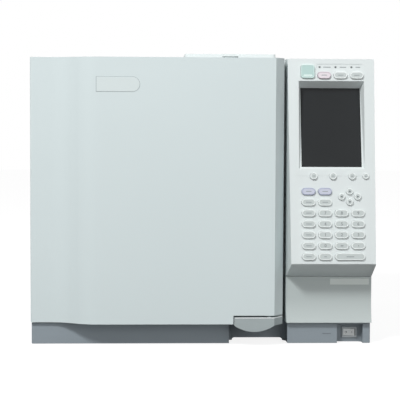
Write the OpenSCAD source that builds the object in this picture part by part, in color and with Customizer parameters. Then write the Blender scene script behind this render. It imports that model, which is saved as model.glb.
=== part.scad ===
// Bench-top gas chromatograph.
// A thermal oven sits behind a door hinged on the left. An electronics column with a
// tilted key panel stands on the right, and both stand on one moulded plinth.
// Millimetres, +Z up, the user stands on the -Y side. The origin lies on the bench,
// under the centre of the whole outline.

/* [Cabinet] */
// Width over the door's hinge edge and the key panel
width = 515; // [505:1:560]
// Depth from the plinth's front face to the back panel
cabinet_d = 472; // [460:1:520]
// Height of the top deck above the bench
deck_z = 431; // [428:1:470]
// How far the key panel's lower edge stands in front of the plinth
panel_reach = 40; // [34:1:44]
// How far the duct and gas fittings stand behind the back panel
rear_reach = 18; // [16:1:24]
// Thickness of the sheet-metal covers and the chassis
sheet = 1.5; // [1:0.1:2]
// Width of the electronics column on the right
column_w = 130.5; // [128:0.5:136]
// Depth of the space behind the door and the key panel, in front of the oven
front_d = 32; // [30:1:38]

/* [Plinth] */
// Height of the plinth's top edge
plinth_h = 32.5; // [30:0.5:36]
// Wall of the plinth moulding
plinth_wall = 3; // [2:0.5:4]
// Height of the plinth's lower edge above the bench
plinth_lift = 1; // [1:0.5:2]
// Foot diameter
foot_d = 34; // [24:1:40]
// Left edge of the finger recess, measured from the door's hinge edge
finger_x = 299; // [290:1:305]
// Width of the finger recess
finger_w = 88.5; // [80:0.5:92]
// Depth of the finger recess
finger_d = 30; // [22:1:34]
// Height of the raised edge under the finger recess
finger_lip = 5; // [4:0.5:10]
// Left edge of the switch recess, measured from the right edge
switch_x = 51.5; // [48:0.5:56]
// Width of the switch recess
switch_w = 39; // [36:0.5:42]
// Depth of the switch recess
switch_d = 15; // [12:1:18]

/* [Door] */
// Clearance under the door
door_under = 1.5; // [1:0.5:3]
// How far the door's main face stands in front of the plinth
door_step = 28; // [24:1:32]
// How far the strip along the hinge edge stands in front of the plinth
strip_step = 5; // [3:1:8]
// Width of that strip
strip_w = 29.5; // [20:0.5:40]
// Width of the S-shaped ramp between the strip and the main face
ramp_w = 73; // [66:1:90]
// Width of the bevel along the free edge
bevel_w = 14; // [10:1:18]
// Depth of the bevel along the free edge
bevel_d = 19; // [12:1:22]
// Wall of the door moulding
door_wall = 3; // [2.5:0.5:3.5]
// Gap between the door and the key panel's side
door_gap = 5.5; // [4:0.5:8]
// Radius of the hinge nose
nose_r = 8; // [7:0.5:8.5]
// Hinge pin diameter
hinge_pin_d = 6; // [5:0.5:7]
// Height of one hinge knuckle
knuckle_h = 30; // [24:1:36]
// Height of the lower hinge above the bench
hinge_low_z = 146; // [130:1:170]
// Height of the upper hinge above the bench
hinge_high_z = 370; // [340:1:385]

/* [Door handle] */
// Width of the lever's straight part
handle_w = 60; // [50:1:64]
// Height of the lever's straight part
handle_h = 12; // [10:0.5:13]
// How far the half-moon grip hangs below the straight part
grip_drop = 9.5; // [6:0.5:12]
// Depth of the lever
handle_d = 15; // [13:0.5:16]
// Wall of the lever
handle_wall = 3.5; // [2.5:0.5:3.5]
// Gap above the lever, which it swings into
handle_gap = 3; // [2.8:0.1:4]
// Pivot pin diameter of the lever
handle_pin_d = 4; // [3:0.5:4.5]

/* [Key panel] */
// Height of the panel's lower front edge above the bench
panel_z = 126; // [122:1:132]
// Height of the panel's underside where it meets the column
panel_under_z = 103; // [98:1:108]
// Wall of the panel moulding
panel_wall = 3; // [2.5:0.5:3.5]
// Display glass width
glass_w = 90.5; // [86:0.5:92]
// Display glass height
glass_h = 121; // [116:1:123]
// Depth of the display recess at its upper end
recess_top_d = 15; // [13:0.5:16]
// Depth of the display recess at its lower end
recess_low_d = 3; // [2.5:0.5:4]
// Distance from the panel's top edge to the display recess
recess_s = 33.4; // [33:0.2:34.4]
// Height of the sloping wall above the glass
recess_head = 8.4; // [7:0.2:9]
// Width of the slope at each side of the glass
recess_side = 4; // [3:0.5:5]
// Height of the slope under the glass
recess_foot = 3.6; // [3:0.2:4]

/* [Keys] */
// Width of an oblong key
key_w = 20.4; // [18:0.2:21]
// Height of an oblong key
key_h = 10.6; // [9:0.2:11.4]
// How far a key stands proud of the panel
key_proud = 2.8; // [2.2:0.2:3.4]
// Distance a key travels when it is pressed
key_travel = 1.2; // [0.8:0.1:1.3]
// Clearance between a key and its hole
key_clear = 0.3; // [0.2:0.05:0.4]
// Distance between the key columns
key_pitch_x = 24.6; // [24:0.2:25]
// Distance between the key rows
key_pitch_s = 16.2; // [15.6:0.2:16.4]
// Size of the square start key
start_w = 20.6; // [19:0.2:21]
// Diameter of the round function keys
round_d = 10.8; // [10:0.2:11.4]
// Diameter of the small round help key
help_d = 9; // [8:0.2:10]
// Diameter of the arrow keys
arrow_d = 10.2; // [9:0.2:11]

/* [Power rocker] */
// Width of the switch bezel
bezel_w = 23; // [21:0.5:24]
// Height of the switch bezel
bezel_h = 16; // [15:0.5:17]
// Height of the switch above the bench
switch_z = 15.5; // [14:0.5:17]
// Tilt of the rocker to each side, in degrees
rocker_tilt = 8; // [6:1:9]

/* [Oven] */
// Inner width and height of the oven
oven_w = 280; // [270:1:290]
// Inner depth of the oven
oven_d = 184; // [180:1:200]
// Thickness of the insulation
insulation = 30; // [25:1:32]
// Distance from the cabinet's left side to the oven's insulation
oven_x = 14; // [12:1:18]
// Height of the oven's floor above the bench
oven_z = 75; // [72:1:80]
// Fan wheel diameter
fan_d = 170; // [150:2:180]
// Fan blade length along the axis
fan_h = 22; // [16:1:24]
// Number of fan blades
fan_blades = 12; // [8:1:16]
// Fan shaft diameter
shaft_d = 8; // [6:0.5:10]
// Heating coil diameter
heater_d = 228; // [220:2:236]
// Heating wire tube diameter
heater_wire = 6; // [5:0.5:7]

/* [Column and ports] */
// Mean diameter of the wound capillary column
column_d = 150; // [130:2:160]
// Distance between the column's cage and the oven's right wall
column_gap = 6; // [4:1:12]
// Number of turns across the winding
column_turns = 8; // [6:1:9]
// Injector body diameter
injector_d = 30; // [26:1:32]
// Detector body diameter
detector_d = 34; // [28:1:36]
// Distance between the injector and the detector
port_pitch = 46; // [42:1:50]

/* [Port lid] */
// Width of the lid over the injector and the detector
lid_w = 140; // [130:1:146]
// Depth of the lid
lid_d = 160; // [150:1:170]
// Height of the lid's top above the deck
lid_h = 9; // [8:0.5:12]
// Distance from the plinth's front face back to the lid's front edge
lid_set = 55; // [50:1:60]
// Wall of the lid
lid_wall = 2.5; // [2:0.5:3]

/* [Back] */
// Inner width of the exhaust duct
duct_w = 84; // [70:1:90]
// Inner height of the exhaust duct
duct_h = 44; // [36:1:50]
// Pipe stub diameter of the gas fittings
gas_d = 6; // [5:0.5:8]
// Distance between the gas fittings
gas_pitch = 30; // [24:1:34]

/* [Hidden] */
$fn = 64;
eps = 0.01;
gap = 0.3;                 // clearance between pieces that move past or seat on each other
pin_clear = 0.05;          // radial running clearance of a pin in its bore
seat = 0.05;               // hairline between separate pieces that rest on each other

// Outline of the whole object
half = width / 2;
total_d = panel_reach + cabinet_d + rear_reach;
front_y = -total_d / 2 + panel_reach;          // plinth front
back_y = front_y + cabinet_d;                  // outer face of the back panel
bulk_y = front_y + front_d;                    // front face of the oven's flange
plate_y = bulk_y + sheet;                      // front face of the bulkhead plate
cover_x = half - 0.5;                          // outer face of the side covers
plinth_x = half - 1;                           // outer face of the plinth
floor_z = plinth_h;                            // underside of the chassis floor
column_x = half - column_w;                    // left side of the electronics column

// Plinth
foot_h = 6;
foot_x = plinth_x - 30;
foot_y0 = front_y + finger_d + plinth_wall + foot_d;
foot_y1 = back_y - 40;

// Door
hinge_x = -half + nose_r;
hinge_y = bulk_y - nose_r - 2;
door_back_y = bulk_y - 2;
door_z = plinth_h + door_under;
door_right = column_x - door_gap;
main_y = front_y - door_step;
strip_y = front_y - strip_step;
bevel_x = door_right - bevel_w;
ramp_x0 = -half + strip_w;
ramp_x1 = ramp_x0 + ramp_w;
ramp_rise = door_step - strip_step;
ramp_r = (ramp_w * ramp_w + ramp_rise * ramp_rise) / (4 * ramp_rise);
hinge_pin_r = hinge_pin_d / 2;

// Door handle
handle_x1 = bevel_x;
handle_x0 = handle_x1 - handle_w;
handle_top = door_z + handle_h - 2;
handle_low = handle_top - handle_h;
notch_x = handle_x0 - 1.3;
notch_z = handle_top + handle_gap;
lever_back = bevel_d + 3;                      // depth of the lever at the door's free edge
notch_back_y = main_y + lever_back + 2;
pivot_y = main_y + 8;
pivot_z = handle_top - 4;
handle_pin_r = handle_pin_d / 2;
rib_x = handle_x1 - 9;                         // left face of the rib that holds the inner pin
rib_w = 4;

// Key panel: its face leans back by panel_lean degrees
panel_top = deck_z;
panel_lean = atan2(panel_reach, panel_top - panel_z);
panel_len = (panel_top - panel_z) / cos(panel_lean);
panel_bevel = 4;                               // how far the left side slants inwards
panel_mid = (column_x + half) / 2;
glass_x = panel_mid + 0.5;
glass_top = recess_s + recess_head;
glass_low = glass_top + glass_h;
glass_tilt = atan2(recess_top_d - recess_low_d, glass_h);
recess_lip = 2;

// Keys
key_r = key_h / 2;
key_x0 = panel_mid - 35;                       // centre of the left key column
key_s0 = glass_low + 37;                       // centre of the upper key row
round_s = glass_low + 14;
flange = 0.8;                                  // lip that keeps a key behind the panel's skin
board_w = 12;                                  // depth of the key board behind the face
board_t = 1.6;
arrow_x = key_x0 + 2.5 * key_pitch_x;
arrow_s = key_s0 + 0.5 * key_pitch_s - 0.4;
top_s = 25;                                    // centre of the row above the display
enter_w = key_w + key_pitch_x;
led_s = 12.4;
led_x = [key_x0 + 18, key_x0 + 42, key_x0 + 66];

// Each key: [node, x, distance down the face, width, height, corner radius, colour]
function col(i) = key_x0 + i * key_pitch_x;
function row(j) = key_s0 + j * key_pitch_s;
function oblong(name, i, j, c = "whitesmoke") =
    [name, col(i), row(j), key_w, key_h, key_r, c];
function disc(name, x, s, d) = [name, x, s, d, d, d / 2, "whitesmoke"];
KEYS = [
    ["key_start", col(0), top_s - 5.5, start_w, start_w, 4, "lightseagreen"],
    ["key_stop", col(1), top_s, key_w, key_h, key_r, "thistle"],
    ["key_system", col(2), top_s, key_w, key_h, key_r, "whitesmoke"],
    ["key_monitor", col(3), top_s, key_w, key_h, key_r, "whitesmoke"],
    disc("key_function_1", col(0) + 8, round_s, round_d),
    disc("key_function_2", col(0) + 37, round_s, round_d),
    disc("key_function_3", col(0) + 65.5, round_s, round_d),
    disc("key_help", col(0) + 86, round_s, help_d),
    oblong("key_heater", 0, 0, "lightsteelblue"),
    oblong("key_column", 1, 0, "lightsteelblue"),
    oblong("key_gas", 0, 1),
    oblong("key_program", 1, 1),
    disc("key_up", arrow_x, arrow_s - 7.8, arrow_d),
    disc("key_down", arrow_x, arrow_s + 7.8, arrow_d),
    disc("key_left", arrow_x - 12, arrow_s, arrow_d),
    disc("key_right", arrow_x + 12, arrow_s, arrow_d),
    oblong("key_flow", 0, 2), oblong("key_7", 1, 2), oblong("key_8", 2, 2), oblong("key_9", 3, 2),
    oblong("key_detector", 0, 3), oblong("key_4", 1, 3), oblong("key_5", 2, 3), oblong("key_6", 3, 3),
    oblong("key_signal", 0, 4), oblong("key_1", 1, 4), oblong("key_2", 2, 4), oblong("key_3", 3, 4),
    oblong("key_option", 0, 5), oblong("key_0", 1, 5), oblong("key_minus", 2, 5), oblong("key_point", 3, 5),
    oblong("key_clear", 0, 6), oblong("key_delete", 1, 6),
    ["key_enter", col(2.5), row(6), enter_w, key_h, key_r, "whitesmoke"],
];

// Power rocker
rocker_x = half - switch_x + 20.5;
rocker_y = front_y + switch_d;                 // back wall of the switch recess
rocker_w = bezel_w - 6;
rocker_h = bezel_h - 6;
rocker_pin_r = 1;

// Oven
cavity_x0 = -cover_x + sheet + oven_x + insulation;
cavity_x1 = cavity_x0 + oven_w;
cavity_z1 = oven_z + oven_w;
cavity_back = bulk_y + oven_d;                 // inner face of the oven's back wall
lagging_back = cavity_back + sheet + insulation;
fan_x = cavity_x0 + oven_w / 2;
fan_z = oven_z + oven_w / 2;
fan_y = cavity_back - 6 - fan_h;               // front edge of the blades
shaft_r = shaft_d / 2;
guard_y = fan_y - 8;
guard_w = oven_w - 44;
motor_y = lagging_back + 15;                   // front face of the motor
motor_d = 92;
motor_l = 62;
motor_flange = 3;

// Column and ports
winding_r = column_d / 2;
wire_r = 1.6;
winding_w = column_turns * 2.6;
coil_y = guard_y - 18 - winding_w;             // front edge of the winding
injector_x = cavity_x1 - 64;
detector_x = injector_x + port_pitch;
port_y = coil_y + winding_w / 2;
port_foot = cavity_z1 - 3;
bar_r = 2;
hoop_r = winding_r + wire_r + bar_r + seat;    // the cage's wire hoops and cross bars
column_cx = cavity_x1 - column_gap - hoop_r - bar_r;
hanger_x = [column_cx - 36, (injector_x + detector_x) / 2];

// Port lid: hinged along its rear edge
lid_x = column_x - door_gap - 7 - lid_w / 2;   // centre of the lid
lid_y0 = front_y + lid_set;
lid_y1 = lid_y0 + lid_d;
lid_top = deck_z + lid_h;
lid_pin_r = 1.5;
lid_axis_y = lid_y1 + 5;
lid_axis_z = lid_top - 4;
bay_margin = 8;

// Back
duct_x = cavity_x0 + 60;
duct_z = cavity_z1 - 45;
duct_end = back_y + rear_reach - 3;
flap_y = duct_end - 8;
flap_pin_r = 1.5;
flap_axis_z = duct_z + duct_h / 2 - 4;
gas_x = cavity_x0 - 4;
gas_z = deck_z - 36;
gas_r = gas_d / 2;
inlet_x = (column_x + half) / 2;
inlet_z = plinth_h + 38;

// ---- shared shapes ----

// A block between two opposite corners
module block(x0, x1, y0, y1, z0, z1)
    translate([x0, y0, z0]) cube([x1 - x0, y1 - y0, z1 - z0]);

// A rectangle between two corners, with its four corners rounded
module soft_rect(x0, x1, y0, y1, r) {
    wide = x1 - x0 - 2 * r > eps;
    tall = y1 - y0 - 2 * r > eps;
    if (wide) translate([x0 + r, y0]) square([x1 - x0 - 2 * r, y1 - y0]);
    if (tall) translate([x0, y0 + r]) square([x1 - x0, y1 - y0 - 2 * r]);
    for (x = wide ? [x0 + r, x1 - r] : [x0 + r], y = tall ? [y0 + r, y1 - r] : [y0 + r])
        translate([x, y]) circle(r);
}

// The same, centred
module soft_plate(w, h, r) soft_rect(-w / 2, w / 2, -h / 2, h / 2, r);

// A cylinder along X, from x0 to x1
module rod_x(x0, x1, y, z, r) translate([x0, y, z]) rotate([0, 90, 0]) cylinder(r = r, h = x1 - x0);

// A cylinder along Y, from y0 to y1
module rod_y(x, y0, y1, z, r) translate([x, y0, z]) rotate([-90, 0, 0]) cylinder(r = r, h = y1 - y0);

// A cylinder along Z, from z0 to z1
module rod_z(x, y, z0, z1, r) translate([x, y, z0]) cylinder(r = r, h = z1 - z0);

// A side profile, drawn as [y, z] points, extruded from x0 to x1
module side_profile(points, x0, x1)
    translate([x0, 0, 0]) rotate([90, 0, 90]) linear_extrude(x1 - x0) polygon(points);

// A front view, drawn as x and z, extruded backwards from y0 to y1
module front_extrude(y0, y1)
    translate([0, y1, 0]) rotate([90, 0, 0]) linear_extrude(y1 - y0) children();

// Puts what is drawn in the panel's plane on the panel: x across, y up from the top edge,
// z out of the face
module on_panel() translate([0, front_y, panel_top]) rotate([90 - panel_lean, 0, 0]) children();

// The same for the display glass: y up from the glass's lower edge
module on_glass()
    on_panel() translate([glass_x, -glass_low, -recess_low_d]) rotate([-glass_tilt, 0, 0]) children();

// ---- plinth ----

// Plan of the finger recess, grown by g; its right rear corner is a large curve
module finger_plan(g) {
    x0 = -half + finger_x - g;
    x1 = -half + finger_x + finger_w + g;
    y1 = front_y + finger_d + g;
    r0 = 3 + g;
    r1 = 12 + g;
    translate([x0, front_y - 1]) square([x1 - x0, y1 - r1 - front_y + 1]);
    translate([x0, front_y]) square([x1 - r1 - x0, y1 - r0 - front_y]);
    translate([x0 + r0, front_y]) square([x1 - r1 - x0 - r0, y1 - front_y]);
    translate([x0 + r0, y1 - r0]) circle(r0);
    translate([x1 - r1, y1 - r1]) circle(r1);
}

// Plan of the switch recess, grown by g; its right side is a curve
module switch_plan(g) {
    x0 = half - switch_x - g;
    x1 = x0 + switch_w + 2 * g;
    y1 = front_y + switch_d + g;
    r = 6.5 + g;
    translate([x0, front_y - 1]) square([switch_w + 2 * g, y1 - r - front_y + 1]);
    translate([x0, front_y]) square([switch_w + 2 * g - r, y1 - front_y]);
    translate([x1 - r, y1 - r]) circle(r);
}

module plinth_body() {
    wall_h = plinth_h - plinth_lift;
    inner_x = plinth_x - plinth_wall;
    inner_y0 = front_y + plinth_wall;
    inner_y1 = back_y - plinth_wall;
    difference() {
        union() {
            // outer ring, with an inner ledge that carries the chassis floor
            difference() {
                translate([0, 0, plinth_lift]) linear_extrude(wall_h)
                    soft_rect(-plinth_x, plinth_x, front_y, back_y, 2);
                block(-inner_x, inner_x, inner_y0, inner_y1, 0, plinth_h - plinth_wall);
                block(-inner_x + 12, inner_x - 12, front_y + 45, inner_y1 - 12, 0, plinth_h + 1);
            }
            translate([0, 0, plinth_lift]) linear_extrude(wall_h) intersection() {
                translate([-half, front_y]) square([width, finger_d + 2 * plinth_wall]);
                union() {
                    finger_plan(plinth_wall);
                    switch_plan(plinth_wall);
                }
            }
            for (x = [-1, 1], y = [foot_y0, foot_y1])
                rod_z(x * foot_x, y, foot_h, plinth_h - 1, foot_d / 2 + 2);
        }
        translate([0, 0, -1]) linear_extrude(plinth_h + 2) finger_plan(0);
        translate([0, 0, -1]) linear_extrude(plinth_h - 2) switch_plan(0);
        // raised edge under the finger recess
        front_extrude(front_y + 6, front_y + finger_d + 2 * plinth_wall)
            soft_rect(-half + finger_x + 6, -half + finger_x + finger_w - 5, -20, finger_lip, 4);
        // opening for the switch body
        block(rocker_x - bezel_w / 2 + 1.5, rocker_x + bezel_w / 2 - 1.5,
              front_y, rocker_y + plinth_wall + 1, switch_z - bezel_h / 2 + 1.5, switch_z + bezel_h / 2 - 1.5);
    }
}

module base_skirt() {
    color("slategray") plinth_body();
    // four rubber feet, seated on the plinth's bosses
    color("black") for (x = [-1, 1], y = [foot_y0, foot_y1])
        translate([x * foot_x, y, 0]) {
            cylinder(d1 = foot_d - 3, d2 = foot_d, h = 2);
            translate([0, 0, 2]) cylinder(d = foot_d, h = foot_h - 2 - seat);
        }
}

// ---- chassis and covers ----

module hinge_knuckle(z) {
    rod_z(hinge_x, hinge_y, z - knuckle_h / 2, z + knuckle_h / 2, nose_r - 1.2);
    block(hinge_x - 3, hinge_x + 3, hinge_y, plate_y, z - knuckle_h / 2, z + knuckle_h / 2);
    rod_z(hinge_x, hinge_y, z - knuckle_h / 2 - 12, z + knuckle_h / 2 + 12, hinge_pin_r);
}

module chassis() color("silver") {
    in_x = cover_x - sheet;
    // floor pan
    block(-in_x, in_x, plate_y, back_y - sheet, floor_z, floor_z + sheet);
    // bulkhead with the oven's mouth, and a cable hole behind the key panel
    difference() {
        block(-cover_x, cover_x, plate_y, plate_y + sheet, floor_z + sheet, deck_z - sheet);
        block(cavity_x0 - sheet, cavity_x1 + sheet, plate_y - 1, plate_y + sheet + 1,
              oven_z - sheet, cavity_z1 + sheet);
        rod_y(column_x + 66, plate_y - 1, plate_y + sheet + 1, oven_z + 60, 20);
    }
    // wall between the oven and the electronics
    block(column_x - 3, column_x - 3 + sheet, plate_y + sheet, back_y - sheet,
          floor_z + sheet, deck_z - sheet);
    // cradle that carries the oven's lagging
    for (y = [plate_y + 30, lagging_back - 30])
        block(cavity_x0 - insulation, cavity_x1 + insulation, y - 8, y + 8,
              floor_z + sheet, oven_z - sheet - insulation);
    // shelf under the gas flow block
    block(-in_x, -in_x + 130, back_y - 82, back_y - sheet, gas_z - 20 - sheet, gas_z - 20);
    hinge_knuckle(hinge_low_z);
    hinge_knuckle(hinge_high_z);
}

// Rows of cooling slots, drawn flat
module slots(count, pitch, w, h)
    for (i = [0 : count - 1]) translate([0, (i - (count - 1) / 2) * pitch]) soft_plate(w, h, h / 2);

module side_cover(side) {
    x0 = side > 0 ? cover_x - sheet : -cover_x;
    difference() {
        block(x0, x0 + sheet, plate_y + sheet + seat, back_y, floor_z + seat, deck_z - sheet - seat);
        // cooling slots, high and low behind the electronics; low only beside the oven
        for (z = side > 0 ? [plinth_h + 70, deck_z - 80] : [plinth_h + 70])
            translate([x0 - 1, back_y - 110, z]) rotate([90, 0, 90]) linear_extrude(sheet + 2)
                slots(7, 9, 90, 4);
    }
    // turned-in front edge, fixed on the bulkhead
    turn = side > 0 ? cover_x - 14 : -cover_x;
    block(turn, turn + 14, plate_y + sheet + seat, plate_y + 2 * sheet, floor_z + sheet + seat, deck_z - sheet - seat);
}

module lid_knuckle(x) {
    difference() {
        union() {
            rod_x(x - 6, x + 6, lid_axis_y, lid_axis_z, 3.5);
            block(x - 6, x + 6, lid_axis_y - 3.5, lid_axis_y + 3.5, deck_z, lid_axis_z);
        }
        rod_x(x - 7, x + 7, lid_axis_y, lid_axis_z, lid_pin_r + pin_clear);
    }
}

module top_deck() {
    difference() {
        block(-cover_x, cover_x, bulk_y, back_y, deck_z - sheet, deck_z);
        // room for the key panel's moulding
        block(column_x - gap, half, bulk_y - 1, plate_y + seat, deck_z - sheet - 1, deck_z + 1);
        // bay over the injector and the detector
        block(lid_x - lid_w / 2 + bay_margin, lid_x + lid_w / 2 - bay_margin,
              lid_y0 + bay_margin, lid_y1 - bay_margin, deck_z - sheet - 1, deck_z + 1);
        // cooling slots over the electronics
        translate([inlet_x, back_y - 70, deck_z - sheet - 1]) linear_extrude(sheet + 2)
            slots(7, 9, 80, 4);
    }
    // front edge, turned down over the bulkhead
    block(-cover_x, column_x - gap, bulk_y, bulk_y + sheet, deck_z - 16, deck_z - sheet);
    for (x = [-1, 1]) lid_knuckle(lid_x + x * (lid_w / 2 - 24));
}

module cabinet_covers() color("gainsboro") {
    side_cover(-1);
    side_cover(1);
    top_deck();
}

module rear_panel() color("silver") {
    in_x = cover_x - sheet;
    y0 = back_y - sheet;
    difference() {
        block(-in_x, in_x, y0, back_y, floor_z + sheet, deck_z - sheet);
        block(duct_x - duct_w / 2 - sheet, duct_x + duct_w / 2 + sheet, y0 - 1, back_y + 1,
              duct_z - duct_h / 2 - sheet, duct_z + duct_h / 2 + sheet);
        for (i = [0 : 2]) rod_y(gas_x + i * gas_pitch, y0 - 1, back_y + 1, gas_z, 8);
        block(inlet_x - 14, inlet_x + 14, y0 - 1, back_y + 1, inlet_z - 11, inlet_z + 11);
        // cooling holes behind the fan motor, in rings
        for (n = [1 : 5], a = [0 : 360 / (6 * n) : 359])
            rod_y(fan_x + 11 * n * cos(a), y0 - 1, back_y + 1, fan_z - 40 + 11 * n * sin(a), 3.5);
        // cooling slots behind the electronics
        for (z = [oven_z + 90, deck_z - 90])
            front_extrude(y0 - 1, back_y + 1) translate([inlet_x, z]) slots(8, 9, 76, 4);
    }
    // exhaust duct from the oven to the outlet
    difference() {
        block(duct_x - duct_w / 2 - sheet, duct_x + duct_w / 2 + sheet, cavity_back, duct_end,
              duct_z - duct_h / 2 - sheet, duct_z + duct_h / 2 + sheet);
        block(duct_x - duct_w / 2, duct_x + duct_w / 2, cavity_back - 1, duct_end + 1,
              duct_z - duct_h / 2, duct_z + duct_h / 2);
        rod_x(duct_x - duct_w, duct_x + duct_w, flap_y, flap_axis_z, flap_pin_r + pin_clear);
    }
}

// ---- oven ----

module oven_liner() color("silver") difference() {
    union() {
        block(cavity_x0 - sheet, cavity_x1 + sheet, bulk_y, cavity_back + sheet,
              oven_z - sheet, cavity_z1 + sheet);
        block(cavity_x0 - 16, cavity_x1 + 16, bulk_y, plate_y, oven_z - 16, cavity_z1 + 16);
    }
    block(cavity_x0, cavity_x1, bulk_y - 1, cavity_back, oven_z, cavity_z1);
    rod_y(fan_x, cavity_back - 1, cavity_back + sheet + 1, fan_z, shaft_r + 2);
    block(duct_x - duct_w / 2 - sheet, duct_x + duct_w / 2 + sheet, cavity_back - 1,
          cavity_back + sheet + 1, duct_z - duct_h / 2 - sheet, duct_z + duct_h / 2 + sheet);
    rod_z(injector_x, port_y, cavity_z1 - 1, cavity_z1 + sheet + 1, injector_d / 4 + gap);
    rod_z(detector_x, port_y, cavity_z1 - 1, cavity_z1 + sheet + 1, detector_d / 4 + gap);
}

module oven_insulation() color("ivory") difference() {
    block(cavity_x0 - sheet - insulation, cavity_x1 + sheet + insulation, plate_y + sheet,
          lagging_back, oven_z - sheet - insulation, cavity_z1 + sheet + insulation);
    block(cavity_x0 - sheet, cavity_x1 + sheet, bulk_y, cavity_back + sheet,
          oven_z - sheet, cavity_z1 + sheet);
    rod_y(fan_x, cavity_back, lagging_back + 1, fan_z, shaft_r + 3);
    block(duct_x - duct_w / 2 - sheet, duct_x + duct_w / 2 + sheet, cavity_back, lagging_back + 1,
          duct_z - duct_h / 2 - sheet, duct_z + duct_h / 2 + sheet);
    rod_z(injector_x, port_y, cavity_z1, cavity_z1 + sheet + insulation + 1, injector_d / 2);
    rod_z(detector_x, port_y, cavity_z1, cavity_z1 + sheet + insulation + 1, detector_d / 2);
}

// Three loops of heating tube round the fan, on four ceramic posts
module oven_heater() {
    wire = heater_wire / 2;
    loop_y = [for (i = [0 : 2]) fan_y + 3 + i * (fan_h - 3) / 2];
    color("dimgray") for (y = loop_y)
        translate([fan_x, y, fan_z]) rotate([90, 0, 0])
            rotate_extrude() translate([heater_d / 2, 0]) circle(wire, $fn = 24);
    color("white") for (a = [45 : 90 : 315])
        difference() {
            rod_y(fan_x + heater_d / 2 * cos(a), fan_y - 2, cavity_back, fan_z + heater_d / 2 * sin(a),
                  wire + 2.5);
            for (y = loop_y)
                translate([fan_x, y, fan_z]) rotate([90, 0, 0])
                    rotate_extrude() translate([heater_d / 2, 0]) circle(wire + 0.1, $fn = 24);
        }
}

// Baffle in front of the fan: rings of curved slots, on four posts
module fan_guard() color("silver") {
    front_extrude(guard_y, guard_y + sheet) difference() {
        translate([fan_x, fan_z]) soft_plate(guard_w, guard_w, 12);
        for (n = [0 : 3]) {
            r = 24 + n * 16;
            translate([fan_x, fan_z]) difference() {
                circle(r + 4);
                circle(r - 4);
                for (a = [0 : 45 : 135]) rotate(a + 22.5 * n) square([300, 9], center = true);
            }
        }
    }
    for (x = [-1, 1], z = [-1, 1])
        rod_y(fan_x + x * (guard_w / 2 - 12), guard_y + sheet, cavity_back,
              fan_z + z * (guard_w / 2 - 12), 4);
}

// One flat blade, set back from the radius, drawn in the wheel's plane
module blade_plan() translate([fan_d / 6, -4]) rotate(14) square([fan_d / 3 + 0.5, 1.5]);

module oven_fan() color("lightsteelblue") {
    front_extrude(fan_y, fan_y + fan_h) translate([fan_x, fan_z])
        for (i = [0 : fan_blades - 1]) rotate(i * 360 / fan_blades) blade_plan();
    // back plate, hub and shaft
    rod_y(fan_x, fan_y + fan_h - 1.5, fan_y + fan_h, fan_z, fan_d / 2);
    rod_y(fan_x, fan_y, fan_y + fan_h + 2, fan_z, 11);
    rod_y(fan_x, fan_y - 3, motor_y + 30, fan_z, shaft_r);
}

module fan_motor() color("dimgray") {
    difference() {
        union() {
            rod_y(fan_x, motor_y, motor_y + motor_l, fan_z, motor_d / 2);
            rod_y(fan_x, motor_y - 4, motor_y, fan_z, 18);
            // cooling fins round the body
            front_extrude(motor_y + 8, motor_y + motor_l - 8) translate([fan_x, fan_z])
                for (i = [0 : 23]) rotate(i * 15) square([motor_d + 8, 2.4], center = true);
        }
        rod_y(fan_x, motor_y - 5, motor_y + 34, fan_z, shaft_r + pin_clear);
    }
    // mounting plate on the lagging, with four legs
    difference() {
        front_extrude(lagging_back, lagging_back + motor_flange)
            translate([fan_x, fan_z]) soft_plate(motor_d + 18, motor_d + 18, 8);
        rod_y(fan_x, lagging_back - 1, lagging_back + motor_flange + 1, fan_z, 14);
    }
    for (x = [-1, 1], z = [-1, 1])
        rod_y(fan_x + x * motor_d * 0.3, lagging_back + motor_flange, motor_y,
              fan_z + z * motor_d * 0.3, 5);
}

// ---- column and ports ----

// The wound capillary, its wire cage, the hangers and the two straight ends
module capillary_column() {
    hoop_y = [coil_y - 2, coil_y + winding_w + 2];
    hanger_top = cavity_z1 - seat;
    color("darkgoldenrod") translate([column_cx, coil_y, fan_z]) rotate([-90, 0, 0]) rotate_extrude()
        translate([winding_r, 0]) for (i = [0 : column_turns - 1])
            translate([0, wire_r + i * (winding_w - 2 * wire_r) / (column_turns - 1)])
                circle(wire_r, $fn = 24);
    color("silver") {
        for (y = hoop_y) translate([column_cx, y, fan_z]) rotate([90, 0, 0]) rotate_extrude()
            translate([hoop_r, 0]) circle(1.5, $fn = 24);
        for (a = [30 : 60 : 330])
            rod_y(column_cx + hoop_r * cos(a), hoop_y[0] - 3, hoop_y[1] + 3, fan_z + hoop_r * sin(a), bar_r);
        // hangers, hooked to a strip under the oven's ceiling
        for (x = hanger_x) {
            for (y = hoop_y)
                rod_z(x, y, fan_z + sqrt(hoop_r * hoop_r - (x - column_cx) * (x - column_cx)),
                      hanger_top - 1, 1.1);
            block(x - 6, x + 6, hoop_y[0] - 4, hoop_y[1] + 4, hanger_top - 2, hanger_top);
        }
    }
    // straight ends, up to the injector and the detector
    color("darkgoldenrod") for (x = [injector_x, detector_x])
        rod_z(x, port_y, fan_z + sqrt(winding_r * winding_r - (x - column_cx) * (x - column_cx)),
              port_foot - seat, 0.8);
}

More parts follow.
